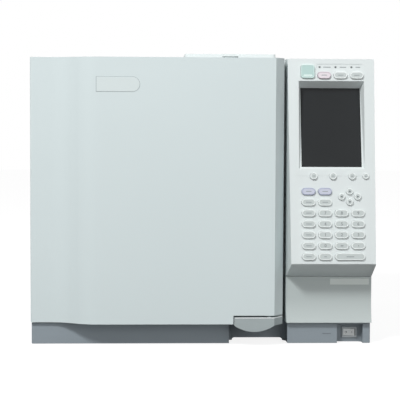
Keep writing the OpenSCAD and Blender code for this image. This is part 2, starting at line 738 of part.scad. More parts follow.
module injector() color("lightgray") {
    top = deck_z - 6;
    rod_z(injector_x, port_y, port_foot, cavity_z1 + sheet, injector_d / 4);
    rod_z(injector_x, port_y, cavity_z1 + sheet, cavity_z1 + sheet + insulation + 6, injector_d / 2 - gap);
    rod_z(injector_x, port_y, cavity_z1 + sheet + insulation, cavity_z1 + sheet + insulation + 3,
          injector_d / 2 + 5);
    // septum nut with a needle hole
    difference() {
        union() {
            rod_z(injector_x, port_y, cavity_z1 + sheet + insulation + 6, top - 10, injector_d / 3);
            translate([injector_x, port_y, top - 10]) cylinder(d = injector_d * 0.8, h = 10, $fn = 6);
        }
        translate([injector_x, port_y, top - 3]) cylinder(r1 = 0.9, r2 = 4, h = 3 + eps);
        rod_z(injector_x, port_y, cavity_z1 + sheet + insulation + 8, top, 0.9);
    }
    // carrier gas line stub
    rod_y(injector_x, port_y + injector_d / 3 - 1, port_y + 40, cavity_z1 + sheet + insulation + 14, 1.6);
}

module detector() color("gainsboro") {
    base = cavity_z1 + sheet + insulation;
    rod_z(detector_x, port_y, port_foot, cavity_z1 + sheet, detector_d / 4);
    rod_z(detector_x, port_y, cavity_z1 + sheet, base + 2, detector_d / 2 - gap);
    difference() {
        union() {
            block(detector_x - detector_d / 2 + 1, detector_x + detector_d / 2 - 1,
                  port_y - detector_d / 2, port_y + detector_d / 2, base, base + 16);
            rod_z(detector_x, port_y, base + 16, deck_z - 3, detector_d / 2 - 5);
        }
        rod_z(detector_x, port_y, base + 20, deck_z, detector_d / 2 - 8);
    }
    // signal cable socket
    rod_x(detector_x + detector_d / 2 - 6, detector_x + detector_d / 2 + 5, port_y, base + 26, 4);
}

module flow_controller() {
    y1 = back_y - sheet;
    x0 = gas_x - 20;
    x1 = gas_x + 2 * gas_pitch + 20;
    color("silver") {
        block(x0, x1, y1 - 62, y1 - 12, gas_z - 20, gas_z + 14);
        for (i = [0 : 2]) {
            x = gas_x + i * gas_pitch;
            // valve on the block
            rod_z(x, y1 - 44, gas_z + 14, gas_z + 26, 9);
            // bulkhead union: inner stem, flange nut and outer pipe stub
            rod_y(x, y1 - 12, back_y + 4, gas_z, 7.7);
            translate([x, back_y, gas_z]) rotate([-90, 0, 0]) cylinder(r = 9, h = 5, $fn = 6);
            difference() {
                rod_y(x, back_y + 4, back_y + rear_reach, gas_z, gas_r);
                rod_y(x, back_y + 6, back_y + rear_reach + 1, gas_z, gas_r - 1);
            }
        }
    }
}

module exhaust_flap() color("silver") {
    w = duct_w - 2;
    rod_x(duct_x - duct_w / 2 - sheet, duct_x + duct_w / 2 + sheet, flap_y, flap_axis_z, flap_pin_r);
    block(duct_x - w / 2, duct_x + w / 2, flap_y - 0.8, flap_y + 0.8,
          duct_z - duct_h / 2 + 1, flap_axis_z + 3);
    rod_x(duct_x - w / 2, duct_x + w / 2, flap_y, flap_axis_z, 3);
}

// ---- electronics ----

module mains_inlet() {
    y1 = back_y + 3;
    difference() {
        union() {
            block(inlet_x - 13.7, inlet_x + 13.7, y1 - 24, y1 - 3, inlet_z - 10.7, inlet_z + 10.7);
            front_extrude(y1 - 3, y1) translate([inlet_x, inlet_z]) soft_plate(46, 24, 3);
        }
        front_extrude(y1 - 17, y1 + 1) translate([inlet_x, inlet_z]) soft_plate(24.4, 16.6, 2);
    }
    for (x = [-7, 0, 7])
        block(inlet_x + x - 1, inlet_x + x + 1, y1 - 19, y1 - 5,
              inlet_z - 2 + (x == 0 ? 3 : 0), inlet_z + 2 + (x == 0 ? 3 : 0));
}

module switch_body() {
    y0 = rocker_y - 2;
    difference() {
        union() {
            front_extrude(y0, rocker_y) translate([rocker_x, switch_z]) soft_plate(bezel_w, bezel_h, 1.5);
            block(rocker_x - bezel_w / 2 + 1.7, rocker_x + bezel_w / 2 - 1.7, rocker_y,
                  rocker_y + 16, switch_z - bezel_h / 2 + 1.7, switch_z + bezel_h / 2 - 1.7);
        }
        block(rocker_x - rocker_w / 2 - 0.7, rocker_x + rocker_w / 2 + 0.7, y0 - 1,
              rocker_y + 8, switch_z - rocker_h / 2 - gap, switch_z + rocker_h / 2 + gap);
        rod_z(rocker_x, rocker_y + 2, switch_z - rocker_h / 2 - 2, switch_z + rocker_h / 2 + 2,
              rocker_pin_r + pin_clear);
    }
}

module electronics() {
    x0 = column_x + 3;
    y0 = plate_y + 40;
    y1 = back_y - 50;
    // main board on standoffs from the inner wall, with its larger parts
    color("darkgreen") {
        block(x0, x0 + 1.6, y0, y1, oven_z + 60, deck_z - 30);
        for (y = [y0 + 10, y1 - 10], z = [oven_z + 70, deck_z - 40])
            rod_x(column_x - 3 + sheet, x0, y, z, 3);
    }
    color("black") {
        for (y = [y0 + 40 : 60 : y1 - 50], z = [oven_z + 100 : 70 : deck_z - 90])
            block(x0 + 1.6, x0 + 6, y, y + 26, z, z + 26);
        mains_inlet();
        switch_body();
    }
    // power supply on the floor
    color("silver") block(column_x + 10, cover_x - 20, y0 + 20, y1 - 40, floor_z + sheet, floor_z + 55);
}

// ---- key panel ----

// Side profile of the panel, set in by t: front face, rounded lower edge, sloping underside
function panel_side(t) =
    let (n = [-cos(panel_lean), sin(panel_lean)],
         back = plate_y + (t > 0 ? 1 : 0),
         fy = -t * n[0], fz = -t * n[1],
         low_y = front_y - panel_reach)
    [[back, panel_top - t], [front_y + t * (1 - sin(panel_lean)) / cos(panel_lean), panel_top - t],
     [low_y + fy, panel_z + t * 0.9],
     [low_y + 1.6 + fy * 0.8, panel_z - 2.6 + t * 0.95],
     [front_y + 2 * t, panel_under_z + t], [back, panel_under_z + t]];

// The solid panel block, set in by t; its left side slants inwards
module panel_block(t) {
    x0 = column_x + t;
    x1 = half - t;
    reach = front_y - panel_reach;
    difference() {
        side_profile(panel_side(t), x0, x1);
        translate([0, 0, panel_under_z - 1]) linear_extrude(panel_top - panel_under_z + 2)
            polygon([[x0 - 1, front_y], [x0, front_y], [x0 + panel_bevel, reach], [x0 + panel_bevel, reach - 1],
                     [x0 - 1, reach - 1]]);
    }
}

// The display recess, grown by g: sloping walls down to the tilted glass
module recess(g) intersection() {
    translate([glass_x, 0, 0]) rotate([90, 0, 90]) translate([0, 0, -glass_w])
        linear_extrude(2 * glass_w) polygon([
            [-recess_s + g + 0.5, 1], [-recess_s + g, 0],
            [-glass_top + g, -recess_top_d - g * (1 + tan(glass_tilt))],
            [-glass_low - g, -recess_low_d - g * (1 - tan(glass_tilt))],
            [-glass_low - recess_foot - g, 0], [-glass_low - recess_foot - g - 0.5, 1]]);
    translate([glass_x, 0, 0]) rotate([90, 0, 0])
        linear_extrude(glass_low + recess_foot + 20) polygon([
            [-glass_w / 2 - recess_side - g - 0.3, 1], [-glass_w / 2 - g, -recess_top_d - g],
            [-glass_w / 2 - g, -recess_top_d - 2 * g - 1], [glass_w / 2 + g, -recess_top_d - 2 * g - 1],
            [glass_w / 2 + g, -recess_top_d - g], [glass_w / 2 + recess_side + g + 0.3, 1]]);
}

module key_outline(k, g) translate([k[1], -k[2]]) soft_plate(k[3] + 2 * g, k[4] + 2 * g, k[5] + g);

// Bosses that carry the key boards, as [x, distance down the face]
board_x0 = column_x + 8;
board_x1 = half - 6;
low_board = [glass_low + recess_foot + 3.5, panel_len - 4];
top_board = [3, recess_s - 3.5];
boss_spots = [
    for (x = [board_x0 + 4, board_x1 - 4]) for (s = [top_board[0] + 7, low_board[0] + 20, low_board[1] - 6]) [x, s]];

module panel_housing() color("gainsboro") {
    difference() {
        union() {
            difference() {
                panel_block(0);
                panel_block(panel_wall);
            }
            intersection() {
                panel_block(0);
                on_panel() recess(recess_lip);
            }
            on_panel() for (b = boss_spots)
                translate([b[0], -b[1], -board_w]) cylinder(r = 3, h = board_w - panel_wall + 1);
        }
        on_panel() {
            recess(0);
            // opening for the glass
            translate([0, 0, -recess_top_d - 5]) linear_extrude(recess_top_d + 4)
                translate([glass_x - glass_w / 2, -glass_low]) square([glass_w, glass_h]);
            for (k = KEYS) translate([0, 0, -panel_wall - 2]) linear_extrude(panel_wall + 3)
                key_outline(k, key_clear);
            // shallow channel and holes of the indicator lamps
            translate([0, 0, -0.6]) linear_extrude(2) translate([(led_x[0] + led_x[2]) / 2 + 6, -led_s])
                soft_plate(led_x[2] - led_x[0] + 22, 9.4, 4);
            for (x = led_x) translate([x, -led_s, -panel_wall - 1]) cylinder(r = 1.6, h = panel_wall + 2);
            // fine groove that joins the round function keys
            translate([board_x0, -round_s - 0.4, -0.4]) cube([board_x1 - board_x0, 0.8, 2]);
        }
    }
}

module display() {
    module_w = glass_w + 7;
    color("dimgray") on_glass() difference() {
        translate([-module_w / 2, -1.5, -recess_lip - seat - 7]) cube([module_w, glass_h + 5, 7]);
        translate([-glass_w / 2, -0.2, -recess_lip - 1]) cube([glass_w, glass_h + 0.2, 2]);
    }
    color("darkslategray") on_glass()
        translate([-glass_w / 2 + gap, gap, -recess_lip - 1]) cube([glass_w - 2 * gap, glass_h - 2 * gap, 2.2]);
}

// Two circuit boards behind the keys, with a dome switch under each key and three lamps
module key_board() {
    color("darkgreen") on_panel() for (b = [top_board, low_board])
        translate([board_x0, -b[1], -board_w - board_t]) cube([board_x1 - board_x0, b[1] - b[0], board_t]);
    color("silver") on_panel() for (k = KEYS)
        translate([k[1], -k[2], -board_w]) {
            cylinder(r = 3, h = 1.2);
            cylinder(r = 1.8, h = 2.4);
        }
    color("orange") on_panel() for (x = led_x)
        translate([x, -led_s, -board_w]) cylinder(r = 1.4, h = board_w - 0.4);
}

// A key cap with a bevelled top edge, its retaining flange and its stem
module key(k) {
    w = k[3];
    h = k[4];
    r = k[5];
    top = key_proud;
    ch = 0.7;
    color(k[6]) on_panel() translate([k[1], -k[2], 0]) {
        translate([0, 0, -panel_wall - gap - 1]) linear_extrude(panel_wall + gap + 1 + top - ch)
            soft_plate(w, h, r);
        translate([0, 0, -panel_wall - gap - 1]) linear_extrude(1) soft_plate(w + 2 * flange, h + 2 * flange, r);
        // bevelled top: cones at the corners, joined by tapered strips
        for (x = w - 2 * r > 0.1 ? [-1, 1] : [0], y = h - 2 * r > 0.1 ? [-1, 1] : [0])
            translate([x * (w / 2 - r), y * (h / 2 - r), top - ch]) cylinder(r1 = r, r2 = r - ch, h = ch);
        if (w - 2 * r > 0.1)
            translate([-w / 2 + r, 0, top - ch]) rotate([90, 0, 90]) linear_extrude(w - 2 * r)
                polygon([[-h / 2, 0], [h / 2, 0], [h / 2 - ch, ch], [-h / 2 + ch, ch]]);
        if (h - 2 * r > 0.1)
            translate([0, h / 2 - r, top - ch]) rotate([90, 0, 0]) linear_extrude(h - 2 * r)
                polygon([[-w / 2, 0], [w / 2, 0], [w / 2 - ch, ch], [-w / 2 + ch, ch]]);
        translate([0, 0, -board_w + 2.4 + key_travel + 0.2])
            cylinder(r = 2, h = board_w - panel_wall - gap - 1 - 2.4 - key_travel - 0.2 + eps);
    }
}

// ---- lower front cover ----

// Side profile: upright at the top, sweeping forward to its lower edge
cover_sweep = 7;
cover_z0 = plinth_h + 0.5;
cover_z1 = panel_under_z - 0.4;
cover_bend_z = cover_z0 + 37;
function cover_side(t) = concat(
    [[plate_y + (t > 0 ? 1 : 0), cover_z1 - t], [front_y + t, cover_z1 - t]],
    [for (i = [0 : 8]) let (u = i / 8)
        [front_y + t - cover_sweep * u * u, cover_bend_z - (cover_bend_z - cover_z0 - t) * u]],
    [[plate_y + (t > 0 ? 1 : 0), cover_z0 + t]]);

module lower_front_cover() color("darkgray") difference() {
    side_profile(cover_side(0), column_x, half);
    side_profile(cover_side(panel_wall), column_x + panel_wall, half - panel_wall);
    // slanted left side
    translate([0, 0, cover_z0 - 1]) linear_extrude(cover_z1 - cover_z0 + 2)
        polygon([[column_x - 1, front_y], [column_x, front_y], [column_x + 1.5, front_y - cover_sweep - 1],
                 [column_x - 1, front_y - cover_sweep - 1]]);
}

// ---- door ----

// Plan of the door, set in by t: nose round the hinge, strip, S-shaped ramp, face and bevel
module door_plan(t) {
    back = door_back_y + (t > 0 ? 1 : 0);
    x0 = -half + t;
    x1 = door_right - t;
    mid = (ramp_x0 + ramp_x1) / 2;
    mid_y = (main_y + strip_y) / 2;
    front_r = 2.5;
    difference() {
        union() {
            translate([x0, hinge_y]) square([mid - x0, back - hinge_y]);
            translate([x0, strip_y + t + front_r]) square([mid - x0, hinge_y - strip_y - t - front_r]);
            translate([x0 + front_r, mid_y + t]) square([mid - x0 - front_r, hinge_y - mid_y - t]);
            translate([x0 + front_r, strip_y + t + front_r]) circle(front_r);
        }
        // concave half of the ramp, and the strip's face
        translate([ramp_x0, strip_y - ramp_r]) circle(ramp_r + t, $fn = 180);
        translate([-half - 1, mid_y - 40]) square([ramp_x0 + half + 1, strip_y + t - mid_y + 40]);
        // room for the nose
        if (t == 0) translate([-half - 1, hinge_y]) square([nose_r + 1, back - hinge_y + 1]);
    }
    if (t == 0) translate([hinge_x, hinge_y]) circle(nose_r);
    // convex half of the ramp
    intersection() {
        translate([mid - eps, main_y]) square([ramp_x1 - mid + 2 * eps, back - main_y]);
        translate([ramp_x1, main_y + ramp_r]) circle(ramp_r - t, $fn = 180);
    }
    // main face with the bevel along the free edge
    polygon([[ramp_x1, main_y + t], [bevel_x - t * 0.4, main_y + t], [x1, main_y + bevel_d + t * 0.4],
             [x1, back], [ramp_x1, back]]);
}

// The notch over the lever, grown by t
module handle_notch(t)
    block(notch_x - t, door_right + 10, main_y - 10, notch_back_y + t, door_z - 10, notch_z + t);

module hinge_pocket(z)
    block(-half - 1, hinge_x + nose_r + 6, hinge_y - nose_r, door_back_y + 1, z - knuckle_h / 2 - gap, z + knuckle_h / 2 + gap);

module door_cover() color("gainsboro") {
    h = deck_z - door_z;
    difference() {
        translate([0, 0, door_z]) linear_extrude(h) door_plan(0);
        difference() {
            intersection() {
                translate([0, 0, door_z + door_wall]) linear_extrude(h - 2 * door_wall)
                    door_plan(door_wall);
                block(hinge_x + nose_r + 8 + door_wall, half, main_y, door_back_y + 2, 0, deck_z);
            }
            handle_notch(door_wall);
        }
        difference() {
            handle_notch(0);
            // rib that holds the inner end of the lever's pin
            block(rib_x, rib_x + rib_w, pivot_y - 2, pivot_y + 3.5, pivot_z, notch_z + 1);
            rod_x(rib_x, rib_x + rib_w, pivot_y, pivot_z, 3.5);
        }
        rod_x(notch_x - door_wall - 1, rib_x + rib_w + 1, pivot_y, pivot_z, handle_pin_r + pin_clear);
        for (z = [hinge_low_z, hinge_high_z]) {
            hinge_pocket(z);
            rod_z(hinge_x, hinge_y, z - knuckle_h / 2 - 13, z + knuckle_h / 2 + 13,
                  hinge_pin_r + pin_clear);
        }
    }
}

// The pressed inner pan that closes the door's back, the plug that fills the oven's mouth
// and the gasket round it
module door_liner() {
    x0 = hinge_x + nose_r + 8 + door_wall + gap;
    x1 = door_right - door_wall - gap;
    z0 = door_z + door_wall + gap;
    z1 = deck_z - door_wall - gap;
    gasket_w = 9;
    color("silver") {
        block(x0, x1, door_back_y - sheet, door_back_y, z0, z1);
        front_extrude(door_back_y, bulk_y + 6) translate([fan_x, fan_z])
            soft_plate(oven_w - 12, oven_w - 12, 8);
    }
    color("ivory") front_extrude(door_back_y + seat, bulk_y - gap) translate([fan_x, fan_z]) difference() {
        soft_plate(oven_w + 2 * gasket_w + 6, oven_w + 2 * gasket_w + 6, 12);
        soft_plate(oven_w + 4, oven_w + 4, 8);
    }
}

// The lever: a hollow bar with a half-moon grip, pivoting on a pin near its top edge
module lever_plan(t) {
    back = main_y + (t > 0 ? lever_back : handle_d);
    polygon([[handle_x0 + t, main_y + t], [handle_x1 - t * 0.4, main_y + t],
             [door_right - t, main_y + bevel_d + t * 0.4], [door_right - t, main_y + lever_back],
             [handle_x1 + 2, back], [handle_x0 + t, back]]);
}

module lever_front() {
    w = handle_x1 - handle_x0;
    grip_r = (w * w / 4 + grip_drop * grip_drop) / (2 * grip_drop);
    translate([handle_x0, handle_low]) square([door_right - handle_x0, handle_h]);
    intersection() {
        translate([handle_x0, handle_low - grip_drop]) square([w, grip_drop + 1]);
        translate([(handle_x0 + handle_x1) / 2, handle_low - grip_drop + grip_r]) circle(grip_r);
    }
}

module door_handle() color("lightgray") {
    difference() {
        intersection() {
            translate([0, 0, handle_low - grip_drop]) linear_extrude(handle_h + grip_drop) lever_plan(0);
            front_extrude(main_y - 1, notch_back_y) lever_front();
        }
        translate([0, 0, handle_low - grip_drop - 1]) linear_extrude(handle_h + grip_drop - handle_wall + 1)
            lever_plan(handle_wall);
        // slot for the door's rib
        block(rib_x - gap, rib_x + rib_w + gap, pivot_y - 3.5 - gap, notch_back_y, handle_low, handle_top + 1);
    }
    rod_x(notch_x - door_wall + 0.5, handle_x0 + handle_wall, pivot_y, pivot_z, handle_pin_r);
    rod_x(rib_x - 7, rib_x + rib_w + 4, pivot_y, pivot_z, handle_pin_r);
    for (x = [rib_x - 7, rib_x + rib_w + 1])
        block(x, x + 3, main_y + handle_wall - eps, pivot_y + 3, pivot_z - 3, handle_top - handle_wall + eps);
}

// ---- port lid ----

module port_lid() color("gainsboro") {
    x0 = lid_x - lid_w / 2;
    x1 = lid_x + lid_w / 2;
    z0 = deck_z + gap;
    y1 = lid_y1;
    difference() {
        union() {
            difference() {
                translate([0, 0, z0]) linear_extrude(lid_top - z0) soft_rect(x0, x1, lid_y0, y1, 6);
                translate([0, 0, z0 - 1]) linear_extrude(lid_top - z0 - lid_wall + 1)
                    soft_rect(x0 + lid_wall, x1 - lid_wall, lid_y0 + lid_wall, y1 - lid_wall, 4);
            }
            // ears round the hinge pin
            for (x = [-1, 1], side = [-1, 1]) {
                ex = lid_x + x * (lid_w / 2 - 24) + side * 8.3;
                rod_x(ex - 2, ex + 2, lid_axis_y, lid_axis_z, 3.5);
                block(ex - 2, ex + 2, y1 - lid_wall, lid_axis_y, lid_axis_z - 1, lid_axis_z + 3.5);
            }
        }
        // finger recess in the front edge
        block(lid_x - 12, lid_x + 12, lid_y0 - 1, lid_y0 + lid_wall + 1, z0 - 1, lid_top - 3.5);
    }
    for (x = [-1, 1]) {
        px = lid_x + x * (lid_w / 2 - 24);
        rod_x(px - 10.3, px + 10.3, lid_axis_y, lid_axis_z, lid_pin_r);
    }
}

// ---- power rocker ----

module power_rocker() color("gainsboro")
    translate([rocker_x, rocker_y + 2, switch_z]) rotate(-rocker_tilt) {
        w = rocker_w / 2;
        translate([0, 0, -rocker_h / 2]) linear_extrude(rocker_h)
            polygon([[-w, -4.6], [0, -3.4], [w, -4.6], [w, 0], [3, 4], [-3, 4], [-w, 0]]);
        translate([0, 0, -rocker_h / 2 - 1.2]) cylinder(r = rocker_pin_r, h = rocker_h + 2.4);
    }

// ---- the part ----

base_skirt();
chassis();
cabinet_covers();
rear_panel();
oven_liner();
oven_insulation();
oven_heater();
fan_guard();
oven_fan();
fan_motor();
capillary_column();
injector();
detector();
exhaust_flap();
flow_controller();
electronics();
panel_housing();
display();
key_board();
lower_front_cover();
door_cover();
door_liner();
door_handle();
port_lid();
power_rocker();
for (k = KEYS) key(k);
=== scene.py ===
import math

import bpy
from mathutils import Matrix, Vector


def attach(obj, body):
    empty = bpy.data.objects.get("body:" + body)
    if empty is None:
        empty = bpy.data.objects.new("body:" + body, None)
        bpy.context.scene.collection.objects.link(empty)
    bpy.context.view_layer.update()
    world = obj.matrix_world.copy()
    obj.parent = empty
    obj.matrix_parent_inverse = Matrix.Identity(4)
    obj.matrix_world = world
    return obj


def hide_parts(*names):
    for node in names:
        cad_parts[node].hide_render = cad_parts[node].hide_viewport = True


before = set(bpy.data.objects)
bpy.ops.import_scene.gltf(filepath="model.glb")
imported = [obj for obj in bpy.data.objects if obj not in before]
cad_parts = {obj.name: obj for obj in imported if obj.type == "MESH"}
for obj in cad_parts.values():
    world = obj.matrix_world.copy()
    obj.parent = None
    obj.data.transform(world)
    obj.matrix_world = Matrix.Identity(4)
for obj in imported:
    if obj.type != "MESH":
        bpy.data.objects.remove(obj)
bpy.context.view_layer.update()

# ---- studio: floor, backdrop, lamps and camera ----
# A pale floor that keeps a soft shadow, a white surround, one lamp from the upper left, a
# weaker and larger one from the right, and the camera two metres in front.

white = (1.0, 1.0, 1.0, 1.0)


def clear():
    """Nothing stays selected from the step before."""
    for o in bpy.context.selected_objects:
        o.select_set(False)


clear()
bpy.ops.mesh.primitive_plane_add(size=14.0, location=(0, 0, 0))
floor = bpy.context.object
floor.name = "floor"
floor_paint = bpy.data.materials.new("pale_floor")
floor_paint.use_nodes = True
ft = floor_paint.node_tree
ft.nodes.clear()
path = ft.nodes.new("ShaderNodeLightPath")
matt = ft.nodes.new("ShaderNodeBsdfDiffuse")
matt.inputs["Color"].default_value = (0.25, 0.25, 0.25, 1)
glow = ft.nodes.new("ShaderNodeEmission")
share = ft.nodes.new("ShaderNodeMath")
share.operation = "MULTIPLY"
share.inputs[1].default_value = 0.86
ft.links.new(path.outputs["Is Camera Ray"], share.inputs[0])
ft.links.new(share.outputs[0], glow.inputs["Strength"])
seen = ft.nodes.new("ShaderNodeAddShader")
ft.links.new(matt.outputs[0], seen.inputs[0])
ft.links.new(glow.outputs[0], seen.inputs[1])
ft.links.new(seen.outputs[0], ft.nodes.new("ShaderNodeOutputMaterial").inputs["Surface"])
floor.data.materials.append(floor_paint)

world = bpy.data.worlds.new("studio")
bpy.context.scene.world = world
world.use_nodes = True
wt = world.node_tree
wt.nodes.clear()
path = wt.nodes.new("ShaderNodeLightPath")
mirrored = wt.nodes.new("ShaderNodeMath")
mirrored.operation = "MAXIMUM"
straight = wt.nodes.new("ShaderNodeMath")
straight.operation = "MAXIMUM"
wt.links.new(path.outputs["Is Glossy Ray"], mirrored.inputs[0])
wt.links.new(path.outputs["Is Transmission Ray"], mirrored.inputs[1])
wt.links.new(path.outputs["Is Camera Ray"], straight.inputs[0])
wt.links.new(mirrored.outputs[0], straight.inputs[1])
surround = wt.nodes.new("ShaderNodeBackground")
surround.inputs["Color"].default_value = white
surround.inputs["Strength"].default_value = 0.46
backdrop = wt.nodes.new("ShaderNodeBackground")
backdrop.inputs["Color"].default_value = white
pick = wt.nodes.new("ShaderNodeMixShader")
wt.links.new(straight.outputs[0], pick.inputs[0])
wt.links.new(surround.outputs[0], pick.inputs[1])
wt.links.new(backdrop.outputs[0], pick.inputs[2])
wt.links.new(pick.outputs[0], wt.nodes.new("ShaderNodeOutputWorld").inputs["Surface"])

for name, spot, size, power in [("lamp_key", (-1.1, -2.1, 2.4), 0.5, 67.0),
                                ("lamp_fill", (1.7, -3.0, 1.0), 1.6, 20.0)]:
    lamp = bpy.data.lights.new(name, "AREA")
    lamp.size = size
    lamp.energy = power
    holder = bpy.data.objects.new(name, lamp)
    bpy.context.collection.objects.link(holder)
    holder.location = spot
    holder.rotation_euler = (Vector((0, -0.2, 0.22)) - Vector(spot)).to_track_quat("-Z", "Y").to_euler()

yaw, pitch, roll = (math.radians(a) for a in (2.25773, -3.37072, 0.257567))
ahead = Vector((math.sin(yaw) * math.cos(pitch), math.cos(yaw) * math.cos(pitch), math.sin(pitch)))
right = Vector((math.cos(yaw), -math.sin(yaw), 0))
up = right.cross(ahead)
side = right * math.cos(roll) + up * math.sin(roll)
top = up * math.cos(roll) - right * math.sin(roll)
lens = bpy.data.cameras.new("camera")
lens.lens = 119.883
lens.sensor_width = 36
lens.sensor_fit = "HORIZONTAL"
lens.clip_end = 60
camera = bpy.data.objects.new("camera", lens)
bpy.context.collection.objects.link(camera)
camera.matrix_world = Matrix(((side.x, top.x, -ahead.x, -0.0823), (side.y, top.y, -ahead.y, -2.225),
                              (side.z, top.z, -ahead.z, 0.33625), (0, 0, 0, 1)))
bpy.context.scene.camera = camera
bpy.context.scene.view_settings.view_transform = "Standard"

# ---- chassis: floor pan, bulkhead, divider and shelf ----
# Folded zinc-plated steel sheet, spot-welded, with two hinge knuckles and their pins.
# The plating shows as a fine spangle.


def srgb(r, g, b):
    """A screen colour from 0 to 255 as the shader's linear colour."""
    return tuple((c / 12.92 if c <= 0.04045 else ((c + 0.055) / 1.055) ** 2.4)
                 for c in (r / 255, g / 255, b / 255)) + (1.0,)


def finish(name, colour, rough, metal=0.0, mottle=0.02, patch=30.0, grain=900.0, depth=0.00003,
           stretch=(1, 1, 1), spread=0.06, coat=0.0, sheen=0.0):
    """A material with slight patches of colour, an uneven gloss and a fine grain."""
    m = bpy.data.materials.new(name)
    m.use_nodes = True
    t = m.node_tree
    s = t.nodes["Principled BSDF"]
    s.inputs["Metallic"].default_value = metal
    s.inputs["Coat Weight"].default_value = coat
    s.inputs["Sheen Weight"].default_value = sheen
    place = t.nodes.new("ShaderNodeTexCoord")
    turn = t.nodes.new("ShaderNodeMapping")
    turn.inputs["Scale"].default_value = stretch
    t.links.new(place.outputs["Object"], turn.inputs["Vector"])
    clouds = t.nodes.new("ShaderNodeTexNoise")
    clouds.inputs["Scale"].default_value = patch
    clouds.inputs["Detail"].default_value = 4
    t.links.new(turn.outputs[0], clouds.inputs["Vector"])
    tint = t.nodes.new("ShaderNodeValToRGB")
    tint.color_ramp.elements[0].position = 0.3
    tint.color_ramp.elements[1].position = 0.7
    tint.color_ramp.elements[0].color = tuple(c * (1 - mottle) for c in colour[:3]) + (1,)
    tint.color_ramp.elements[1].color = tuple(min(1, c * (1 + mottle)) for c in colour[:3]) + (1,)
    t.links.new(clouds.outputs["Fac"], tint.inputs["Fac"])
    t.links.new(tint.outputs["Color"], s.inputs["Base Color"])
    gloss = t.nodes.new("ShaderNodeMapRange")
    gloss.inputs["To Min"].default_value = rough - spread
    gloss.inputs["To Max"].default_value = rough + spread
    t.links.new(clouds.outputs["Fac"], gloss.inputs["Value"])
    t.links.new(gloss.outputs["Result"], s.inputs["Roughness"])
    speck = t.nodes.new("ShaderNodeTexNoise")
    speck.inputs["Scale"].default_value = grain
    speck.inputs["Detail"].default_value = 2
    t.links.new(turn.outputs[0], speck.inputs["Vector"])
    relief = t.nodes.new("ShaderNodeBump")
    relief.inputs["Distance"].default_value = depth
    relief.inputs["Strength"].default_value = 0.6
    t.links.new(speck.outputs["Fac"], relief.inputs["Height"])
    t.links.new(relief.outputs["Normal"], s.inputs["Normal"])
    return m


def dress(material, *nodes):
    """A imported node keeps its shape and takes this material."""
    for n in nodes:
        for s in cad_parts[n].material_slots:
            s.material = material


zinc = finish("zinc_plate", srgb(168, 172, 174), 0.42, metal=0.85, mottle=0.10, patch=90, grain=500,
              depth=0.00002)
dress(zinc, "chassis")

# ---- oven liner, fan baffle and fan wheel ----
# Deep-drawn stainless steel sheet. The wheel has twelve set-back blades on a turned shaft.
# The steel is brushed, with fine lines along the sheet.

stainless = finish("stainless_sheet", srgb(178, 178, 175), 0.34, metal=1.0, mottle=0.06, patch=14, grain=420,
                   depth=0.00003, stretch=(1, 1, 14))
dress(stainless, "oven_liner", "fan_guard", "oven_fan")

# ---- oven insulation ----
# A block of felted mineral wool round the liner, off-white, with loose fibres on its faces.

wool = finish("mineral_wool", srgb(226, 219, 203), 0.95, mottle=0.12, patch=55, grain=260, depth=0.0009,
              sheen=0.3)
dress(wool, "oven_insulation")

# ---- heating tube ----
# Three turns of sheathed heating tube round the wheel, browned by heat, clipped into
# four posts of white ceramic.


def remake(node, name, body, width=0.0, limit=38, steps=2):
    """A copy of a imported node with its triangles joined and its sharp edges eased."""
    clear()
    o = bpy.data.objects.new(name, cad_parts[node].data.copy())
    bpy.context.collection.objects.link(o)
    o.select_set(True)
    bpy.context.view_layer.objects.active = o
    bpy.ops.mesh.customdata_custom_splitnormals_clear()
    bpy.ops.object.mode_set(mode="EDIT")
    bpy.ops.mesh.select_all(action="SELECT")
    bpy.ops.mesh.remove_doubles(threshold=0.000004)
    bpy.ops.mesh.dissolve_limited(angle_limit=math.radians(0.6))
    bpy.ops.object.mode_set(mode="OBJECT")
    if width:
        round_off(o, width, limit, steps)
    smooth(o)
    o.data.materials.clear()
    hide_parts(node)
    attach(o, body)
    return o


def round_off(o, width, limit=38, steps=2):
    """Small radii on every edge sharper than the limit."""
    edge = o.modifiers.new("edges", "BEVEL")
    edge.width = width
    edge.segments = steps
    edge.limit_method = "ANGLE"
    edge.angle_limit = math.radians(limit)
    edge.use_clamp_overlap = True
    edge.harden_normals = False
    bpy.context.view_layer.objects.active = o
    bpy.ops.object.modifier_apply(modifier=edge.name)


def smooth(o, angle=34):
    """Curved faces shade smoothly and flat faces stay flat."""
    bpy.context.view_layer.objects.active = o
    bpy.ops.object.shade_smooth_by_angle(angle=math.radians(angle))
    even = o.modifiers.new("even", "WEIGHTED_NORMAL")
    even.keep_sharp = True
    even.weight = 80
    bpy.ops.object.modifier_apply(modifier=even.name)


def paint_solids(o, materials, rule):
    """Each separate solid of a piece takes the material that the rule picks from its box."""
    for m in materials:
        o.data.materials.append(m)
    mesh = o.data
    home = list(range(len(mesh.vertices)))

    def root(i):
        while home[i] != i:
            home[i] = home[home[i]]
            i = home[i]
        return i

    for e in mesh.edges:
        a, b = root(e.vertices[0]), root(e.vertices[1])
        if a != b:
            home[a] = b
    boxes = {}
    for v in mesh.vertices:
        lo, hi = boxes.setdefault(root(v.index), (v.co.copy(), v.co.copy()))
        for k in range(3):
            lo[k] = min(lo[k], v.co[k])
            hi[k] = max(hi[k], v.co[k])
    choice = {r: rule(lo, hi) for r, (lo, hi) in boxes.items()}
    for f in mesh.polygons:
        f.material_index = choice[root(f.vertices[0])]


hot_tube = finish("heater_tube", srgb(104, 94, 88), 0.45, metal=0.8, mottle=0.3, patch=40, grain=700)
ceramic = finish("ceramic", srgb(232, 228, 218), 0.7, mottle=0.04, patch=60, grain=900)
heater = remake("oven_heater", "heating_tube", "cabinet")
paint_solids(heater, [hot_tube, ceramic], lambda lo, hi: 1 if hi.x - lo.x < 0.03 else 0)

